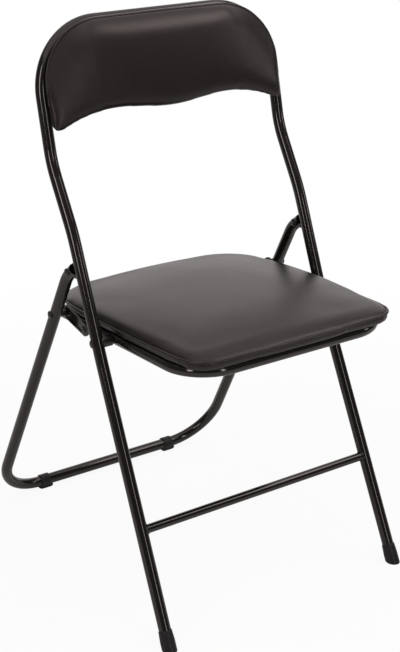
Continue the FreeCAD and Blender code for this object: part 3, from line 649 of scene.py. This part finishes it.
# the seam is read off the finished padding
def seamWelt(name, soft, place, pad, welt):
    surface = surfaceOf(soft.data)
    points = []
    middle = Vector((0, pad["middle"], pad["seam"]))
    for step in range(welt["samples"]):
        angle = 2 * math.pi * step / welt["samples"] - math.pi / 2
        outward = Vector((math.cos(angle), math.sin(angle), 0))
        hit = surface.ray_cast(middle + outward * castFrom, -outward)[0]
        if hit is not None and hit.y > welt["above"]:
            points.append(place @ (hit + outward * welt["proud"]))
    values = {
        "Bead Radius": welt["radius"],
        "Point Spacing": welt["spacing"],
        "Sides": welt["sides"],
        "Finish": vinylCover,
    }
    return beadsAlong(name, [points], welt["closed"], values)


seatPad = {
    "voxel": 0.0042,
    "held": 0.017,  # below this the cover is tucked round the board
    "blendHeight": 0.012,
    "shrink": 0.0015,
    "pressure": 4.0,
    "frames": 20,
    "cap": 0.005,
    "smoothing": 6,
    "tautness": 25,
    "middle": -0.012,
    "edgeSamples": 1440,
    "crownWidth": 0.028,
    "rimShare": 0.35,
    "rimCurve": 2.0,
    "evening": 2,
    "crownFrom": 0.004,  # above the seam
    "crownSmoothing": 0,
    "sideStretch": 0.45,
    "fullAt": -0.04,  # unthinned from here to the rear
    "fullBlend": -0.09,
    "growSide": 1.009,  # make up for what the smoothing takes
    "growHigh": 0.012,
    "growLow": 0.006,
    "lift": 1.1,
    "hollowFrom": 0.0052,
    "hollowTop": 0.0176,
    "skirt": 0.009,
    "skirtWidth": 0.014,
    "flare": 0.0,
    "seam": 0.0192,
    "seamWidth": 0.004,
    "seamDepth": 0.0008,
}
seatWelt = {
    "samples": 360,
    "proud": 0.0017,
    "radius": 0.002,
    "spacing": 0.004,
    "sides": 8,
    "above": -1.0,  # all the way round
    "closed": True,
}
seatSoft = swollenPad("seat_pad", "seat_cushion", seatFrame, seatPad)
seatPiping = seamWelt("seat_welt", seatSoft, seatFrame, seatPad, seatWelt)
seatSoft.data.transform(seatFrame)
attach(seatSoft, "seat")
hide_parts("seat_cushion")
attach(seatPiping, "seat")
print("seat padding swollen,", len(seatSoft.data.vertices), "points")

backPad = {
    "voxel": 0.0036,
    "held": 0.0125,
    "blendHeight": 0.008,
    "shrink": 0.0015,
    "pressure": 4.0,
    "frames": 20,
    "cap": 0.005,
    "smoothing": 6,
    "tautness": 60,
    "middle": 0.105,
    "edgeSamples": 1440,
    "crownWidth": 0.025,
    "rimShare": 0.1,
    "rimCurve": 2.8,
    "evening": 2,
    "crownFrom": 0.004,
    "crownSmoothing": 30,
    "sideStretch": 3.2,
    "fullAt": 0.05,  # unthinned below this
    "fullBlend": 0.06,
    "growSide": 1.009,
    "growHigh": 0.0,
    "growLow": 0.05,
    "lift": 1.0,
    "hollowFrom": 0.008,
    "hollowTop": 0.0156,
    "skirt": 0.003,
    "skirtWidth": 0.012,
    "flare": 0.0085,  # brings the rear edge out to the tube
    "seam": 0.0138,
    "seamWidth": 0.003,
    "seamDepth": 0.0004,
}
backWelt = {
    "samples": 420,
    "proud": 0.0012,
    "radius": 0.0021,
    "spacing": 0.004,
    "sides": 8,
    "above": 0.06,  # none shows along the lower edge
    "closed": False,
}
backSoft = swollenPad("back_pad", "backrest_cushion", backFrame, backPad)
backPiping = seamWelt("back_welt", backSoft, backFrame, backPad, backWelt)
backSoft.data.transform(backFrame)
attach(backSoft, "front_frame")
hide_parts("backrest_cushion")
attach(backPiping, "front_frame")
print("back padding swollen,", len(backSoft.data.vertices), "points")

# fillet welds: the cross bar and the hinge tongues on the front frame
welds = {
    "radius": 0.0016,
    "tongueRadius": 0.001,
    "spacing": 0.0012,
    "sides": 8,
    "lumps": 0.0007,
    "lumpScale": 420.0,
    "ringSteps": 40,
    "tongueHalf": 0.0105,
    "tongueSteps": 10,
    "tubeLean": 23.1,
}
tubeSurface = surfaceOf(nodes["front_frame_tube"].data)
weldValues = {
    "Bead Radius": welds["radius"],
    "Point Spacing": welds["spacing"],
    "Sides": welds["sides"],
    "Lumps": welds["lumps"],
    "Lump Scale": welds["lumpScale"],
    "Finish": powderCoat,
}
barLow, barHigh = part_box("front_cross_bar")
barMiddle = (barLow + barHigh) / 2
barRadius = (barHigh.z - barLow.z) / 2
rings = []
for side in (-1, 1):
    points = []
    for step in range(welds["ringSteps"]):
        angle = 2 * math.pi * step / welds["ringSteps"]
        rim = Vector((0, math.cos(angle), math.sin(angle))) * barRadius
        origin = Vector((0, barMiddle.y, barMiddle.z)) + rim
        hit = tubeSurface.ray_cast(origin, Vector((side, 0, 0)))[0]
        if hit is not None:
            points.append(hit)
    rings.append(points)
barWelds = beadsAlong("cross_bar_welds", rings, True, weldValues)
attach(barWelds, "front_frame")

sideLean = math.radians(welds["tubeLean"])
alongTube = Vector((0, math.sin(sideLean), math.cos(sideLean)))
toTube = Vector((0, -math.cos(sideLean), math.sin(sideLean)))
runs = []
rivetLow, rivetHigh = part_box("leg_hinge_rivets")
hub = (rivetLow + rivetHigh) / 2
for sideName in ("right", "left"):
    plateLow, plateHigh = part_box("leg_hinge_tongue_" + sideName)
    for face in (plateLow.x, plateHigh.x):
        points = []
        for step in range(welds["tongueSteps"] + 1):
            share = 2 * step / welds["tongueSteps"] - 1
            origin = Vector((face, hub.y, hub.z)) + alongTube * welds["tongueHalf"] * share
            hit = tubeSurface.ray_cast(origin, toTube)[0]
            if hit is not None:
                points.append(hit)
        if len(points) > 2:
            runs.append(points)
tongueValues = dict(weldValues)
tongueValues["Bead Radius"] = welds["tongueRadius"]
tongueValues["Lumps"] = welds["lumps"] / 2
tongueWelds = beadsAlong("hinge_tongue_welds", runs, False, tongueValues)
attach(tongueWelds, "front_frame")
print("welds laid")


# pan-head screws with a cross recess, one at each tab
screw = {
    "headRadius": 0.0045,
    "headHigh": 0.0032,
    "shankRadius": 0.002,
    "shankLong": 0.0065,
    "pointLong": 0.001,
    "pointShare": 0.4,
    "flatShare": 0.55,
    "flatRings": 14,
    "dome": ((0.75, 0.93), (0.92, 0.68), (1.0, 0.25), (1.0, 0.0)),  # shares of radius and height
    "recessHalf": 0.0024,
    "recessWide": 0.0005,
    "recessDeep": 0.0013,
    "segments": 48,
    "seed": 4,
    "turnMost": 3.1,
    "seatMiddle": -0.01,
    "backMiddle": 0.09,
}


def screwMesh():
    radius = screw["headRadius"]
    high = screw["headHigh"]
    shank = screw["shankRadius"]
    long = screw["shankLong"]
    rings = screw["flatRings"]
    profile = [(radius * screw["flatShare"] * i / rings, -high) for i in range(1, rings + 1)]
    profile += [(radius * wide, -high * tall) for wide, tall in screw["dome"]]
    profile += [(shank, 0), (shank, long - screw["pointLong"]), (shank * screw["pointShare"], long)]
    bm = bmesh.new()
    rows = []
    for r, z in profile:
        row = []
        for i in range(screw["segments"]):
            angle = 2 * math.pi * i / screw["segments"]
            row.append(bm.verts.new((r * math.cos(angle), r * math.sin(angle), z)))
        rows.append(row)
    for lower, upper in zip(rows, rows[1:]):
        for i in range(screw["segments"]):
            j = (i + 1) % screw["segments"]
            bm.faces.new((lower[i], lower[j], upper[j], upper[i]))
    bm.faces.new(rows[0])
    bm.faces.new(rows[-1])
    for row in rows[:rings]:
        for v in row:
            arm = max(abs(v.co.x), abs(v.co.y))
            thin = min(abs(v.co.x), abs(v.co.y))
            if thin < screw["recessWide"] and arm < screw["recessHalf"]:
                v.co.z += screw["recessDeep"] * (1 - 0.5 * arm / screw["recessHalf"])
    bmesh.ops.recalc_face_normals(bm, faces=bm.faces)
    mesh = bpy.data.meshes.new("screw")
    bm.to_mesh(mesh)
    bm.free()
    return mesh


def screwTree():
    tree, enter, leave = groupTree(
        "screwsAtSpots",
        "GeometryNodeTree",
        [
            ("Spots", "NodeSocketGeometry", None),
            ("Screw", "NodeSocketObject", None),
            ("Turn Seed", "NodeSocketInt", 1),
            ("Finish", "NodeSocketMaterial", None),
        ],
        [("Screws", "NodeSocketGeometry")],
    )
    model = tree.nodes.new("GeometryNodeObjectInfo")
    spin = tree.nodes.new("FunctionNodeRandomValue")
    spin.data_type = "FLOAT_VECTOR"
    spin.inputs["Min"].default_value = (0, 0, 0)
    spin.inputs["Max"].default_value = (0, 0, screw["turnMost"])
    spread = tree.nodes.new("GeometryNodeInstanceOnPoints")
    real = tree.nodes.new("GeometryNodeRealizeInstances")
    finish = tree.nodes.new("GeometryNodeSetMaterial")
    link = tree.links.new
    link(enter.outputs["Screw"], model.inputs["Object"])
    link(enter.outputs["Turn Seed"], spin.inputs["Seed"])
    link(enter.outputs["Spots"], spread.inputs["Points"])
    link(model.outputs["Geometry"], spread.inputs["Instance"])
    link(spin.outputs["Value"], spread.inputs["Rotation"])
    link(spread.outputs["Instances"], real.inputs["Geometry"])
    link(real.outputs["Geometry"], finish.inputs["Geometry"])
    link(enter.outputs["Finish"], finish.inputs["Material"])
    link(finish.outputs["Geometry"], leave.inputs["Screws"])
    return tree


screwNodes = screwTree()
screwModel = newObject("screw_model", screwMesh())


# the screws stand where the frame has them, found by quarter of the padding
def screwsFor(name, nodeName, place, middle):
    inverse = place.inverted()
    local = [inverse @ v.co for v in nodes[nodeName].data.vertices]
    lowest = min(co.z for co in local)
    quarters = {}
    for co in local:
        quarters.setdefault((co.x > 0, co.y > middle), []).append(co)
    spots = []
    for group in quarters.values():
        xs = [co.x for co in group]
        ys = [co.y for co in group]
        across, along = (min(xs) + max(xs)) / 2, (min(ys) + max(ys)) / 2
        spots.append((across, along, lowest + screw["headHigh"]))
    mesh = bpy.data.meshes.new(name + "_spots")
    mesh.from_pydata(spots, [], [])
    holder = newObject(name + "_spots", mesh)
    spread = holder.modifiers.new("screws", "NODES")
    spread.node_group = screwNodes
    setInputs(spread, {"Screw": screwModel, "Turn Seed": screw["seed"], "Finish": blackSteel})
    made = bakedMesh(holder)
    bpy.data.objects.remove(holder)
    made.transform(place)
    return newObject(name, made)


seatScrews = screwsFor("seat_pan_screws", "seat_screws", seatFrame, screw["seatMiddle"])
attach(seatScrews, "seat")
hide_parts("seat_screws")
backScrews = screwsFor("back_pan_screws", "backrest_screws", backFrame, screw["backMiddle"])
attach(backScrews, "front_frame")
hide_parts("backrest_screws")
bpy.data.objects.remove(screwModel)
print("screws driven:", len(seatScrews.data.polygons) + len(backScrews.data.polygons), "faces")

# floor: white to the camera and, behind the chair, in its reflections
studio = {
    "floorHalf": 9,
    "floorWhite": 1.0,
    "floorTone": 0.8,
    "floorShadow": 0.08,  # how much of the shadow the camera sees
    "frontTone": 0.08,
    "topTone": 0.2,
    "backTone": 1.02,
    "leftTone": 0.12,
    "roomColor": (1.0, 0.945, 0.935, 1),
    "shadowReach": (0.5, 1.2),
    "mirrorBehind": (0.1, 1.0),  # where the floor mirrors white
    "mirrorRight": (-0.6, 0.1),
    "behind": (0.05, 0.6),  # directions over which the room changes
    "low": (0.45, 0.82),
    "lowLeast": 0.1,
    "top": (0.3, 0.8),
    "left": (-0.45, -0.95),
    "right": (-0.4, 0.05),
    "rightLeast": 0.15,
}
floorMesh = bpy.data.meshes.new("floor")
half = studio["floorHalf"]
corners = [(-half, -half, 0), (half, -half, 0), (half, half, 0), (-half, half, 0)]
floorMesh.from_pydata(corners, [], [(0, 1, 2, 3)])
floor = newObject("floor", floorMesh)
floorPaint = bpy.data.materials.new("paleFloor")
floorPaint.use_nodes = True
tree = floorPaint.node_tree
tree.nodes.clear()
out = tree.nodes.new("ShaderNodeOutputMaterial")
seen = tree.nodes.new("ShaderNodeLightPath")
spot = tree.nodes.new("ShaderNodeTexCoord").outputs["Object"]
parts = tree.nodes.new("ShaderNodeSeparateXYZ")
tree.links.new(spot, parts.inputs[0])
reach = tree.nodes.new("ShaderNodeVectorMath")
reach.operation = "LENGTH"
tree.links.new(spot, reach.inputs[0])
toCamera = seen.outputs["Is Camera Ray"]
tone = rangeNode(tree, toCamera, 0.0, 1.0, studio["floorTone"], studio["floorWhite"])
matt = tree.nodes.new("ShaderNodeBsdfDiffuse")
tree.links.new(tone, matt.inputs["Color"])
white = tree.nodes.new("ShaderNodeEmission")
white.inputs["Strength"].default_value = 1.0
plainShare = rangeNode(tree, reach.outputs["Value"], *studio["shadowReach"], 1 - studio["floorShadow"], 1.0)
plainShare = mathNode(tree, "MULTIPLY", plainShare, toCamera)
mirrored = mathNode(tree, "MAXIMUM", seen.outputs["Is Glossy Ray"], seen.outputs["Is Transmission Ray"])
behind = rangeNode(tree, parts.outputs["Y"], *studio["mirrorBehind"], 0.0, 1.0)
mirrored = mathNode(tree, "MULTIPLY", mirrored, behind)
right = rangeNode(tree, parts.outputs["X"], *studio["mirrorRight"], 0.0, 1.0)
mirrored = mathNode(tree, "MULTIPLY", mirrored, right)
blend = tree.nodes.new("ShaderNodeMixShader")
tree.links.new(mathNode(tree, "MAXIMUM", plainShare, mirrored), blend.inputs[0])
tree.links.new(matt.outputs[0], blend.inputs[1])
tree.links.new(white.outputs[0], blend.inputs[2])
tree.links.new(blend.outputs[0], out.inputs["Surface"])
floorMesh.materials.append(floorPaint)

# the backdrop is white low down behind the chair, the room in front is dim
world = bpy.data.worlds.new("studio")
scene.world = world
world.use_nodes = True
tree = world.node_tree
tree.nodes.clear()
out = tree.nodes.new("ShaderNodeOutputWorld")
room = tree.nodes.new("ShaderNodeBackground")
room.inputs["Color"].default_value = studio["roomColor"]
plain = tree.nodes.new("ShaderNodeBackground")
plain.inputs["Color"].default_value = (1, 1, 1, 1)
direction = tree.nodes.new("ShaderNodeTexCoord").outputs["Generated"]
parts = tree.nodes.new("ShaderNodeSeparateXYZ")
tree.links.new(direction, parts.inputs[0])
behind = rangeNode(tree, parts.outputs["Y"], *studio["behind"], 0.0, studio["backTone"])
low = rangeNode(tree, parts.outputs["Z"], *studio["low"], 1.0, studio["lowLeast"])
top = rangeNode(tree, parts.outputs["Z"], *studio["top"], studio["frontTone"], studio["topTone"])
side = rangeNode(tree, parts.outputs["X"], *studio["left"], 0.0, studio["leftTone"])
right = rangeNode(tree, parts.outputs["X"], *studio["right"], studio["rightLeast"], 1.0)
tone = mathNode(tree, "MULTIPLY", mathNode(tree, "MULTIPLY", behind, low), right)
tone = mathNode(tree, "MAXIMUM", tone, top)
tone = mathNode(tree, "MAXIMUM", tone, side)
tree.links.new(tone, room.inputs["Strength"])
seen = tree.nodes.new("ShaderNodeLightPath")
blend = tree.nodes.new("ShaderNodeMixShader")
tree.links.new(seen.outputs["Is Camera Ray"], blend.inputs[0])
tree.links.new(room.outputs[0], blend.inputs[1])
tree.links.new(plain.outputs[0], blend.inputs[2])
tree.links.new(blend.outputs[0], out.inputs["Surface"])

lampColor = (1.0, 0.96, 0.945)
lamps = {
    "overhead": {
        "place": (0, -0.3, 2.7), "target": (0, -0.3, 0),
        "wide": 4.2, "high": 3.4, "radiance": 0.75,
    },
    "keyLamp": {
        "place": (1.6, -1, 2.5), "target": (0, -0.1, 0.5),
        "wide": 1.5, "high": 1.1, "radiance": 2.8,
    },
    # upright strips that draw the light lines on the tubes
    "frontLamp": {
        "place": (0, -2.1, 0.95), "target": (-0.1, 0, 0.5),
        "wide": 0.25, "high": 1.2, "radiance": 5.5,
    },
    "leftLamp": {
        "place": (-2, -0.8, 1.5), "target": (-0.2, 0.05, 0.7),
        "wide": 0.45, "high": 1.4, "radiance": 6.5,
    },
    "rightLamp": {
        "place": (2, -1.25, 1.25), "target": (0, 0.05, 0.7),
        "wide": 0.35, "high": 0.6, "radiance": 4.2,
    },
}
for name, box in lamps.items():
    lamp = bpy.data.lights.new(name, "AREA")
    lamp.shape = "RECTANGLE"
    lamp.size = box["wide"]
    lamp.size_y = box["high"]
    lamp.energy = box["radiance"] * math.pi * box["wide"] * box["high"]
    lamp.color = lampColor
    obj = bpy.data.objects.new(name, lamp)
    obj.location = box["place"]
    aim = Vector(box["target"]) - Vector(box["place"])
    obj.rotation_euler = aim.to_track_quat("-Z", "Y").to_euler()
    scene.collection.objects.link(obj)
print("studio lit")
